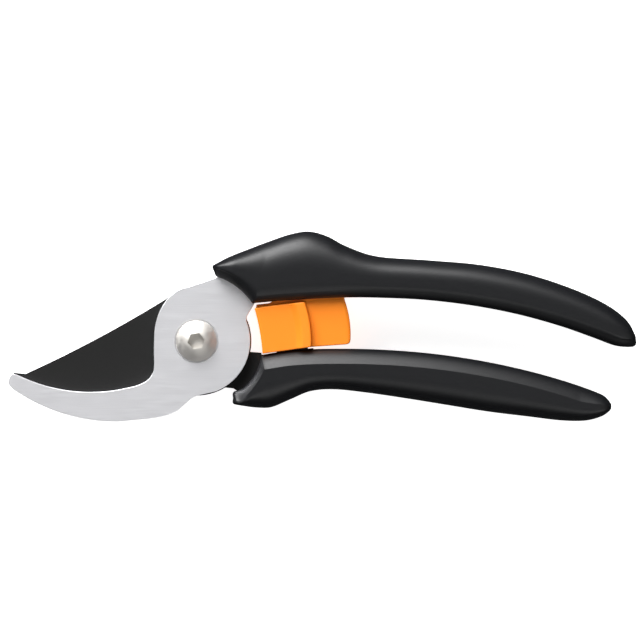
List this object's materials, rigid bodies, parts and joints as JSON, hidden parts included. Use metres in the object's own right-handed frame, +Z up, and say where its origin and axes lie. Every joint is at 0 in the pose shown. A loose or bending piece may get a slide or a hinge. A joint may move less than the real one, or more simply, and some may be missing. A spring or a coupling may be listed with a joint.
{
  "type": "bypass pruner",
  "caption": "Hand pruner lying closed: curved counter blade over a dark coated cutting blade, domed pivot screw, two moulded handles and a sliding lock between them.",
  "frame": {"origin": "the pivot axis, on the plane that the two handles and the pivot nut rest on", "axes": "+X from the pivot toward the handle ends, +Y toward the upper handle, +Z up out of the resting plane toward the screw head"},
  "size_m": [0.2086, 0.0631, 0.022],
  "materials": {
    "handle_upper": "fine-grained moulded",
    "handle_lower": "fine-grained moulded",
    "blade_steel": "satin ground",
    "coated_steel": "low-friction coating",
    "stainless": "turned",
    "zinc_steel": "zinc plated",
    "nylon": "moulded",
    "lock_plastic": "moulded, satin",
    "housing_plastic": "moulded",
    "spring_steel": "drawn wire"
  },
  "bodies": {
    "upper_side": {"upper_handle": "handle_upper", "counter_blade": "blade_steel", "pivot_screw": "stainless", "pivot_washer": "zinc_steel", "pivot_nut": "zinc_steel", "nut_locking_ring": "nylon"},
    "lower_side": {"lower_handle": "handle_lower", "cutting_blade": "coated_steel", "spring_housing": "housing_plastic", "opening_spring": "spring_steel"},
    "lock": {"lock_slider": "lock_plastic", "lock_catch": "stainless"}
  },
  "joints": [
    {"name": "handle_hinge", "type": "hinge", "parent": "upper_side", "child": "lower_side", "pos_m": [0, 0, 0.011], "axis": [0, 0, -1], "range_deg": [0, 30], "deforming": ["opening_spring"]},
    {"name": "lock_slide", "type": "slide", "parent": "upper_side", "child": "lock", "axis": [0.9962, 0.0872, 0], "range_m": [0, 0.003]}
  ]
}
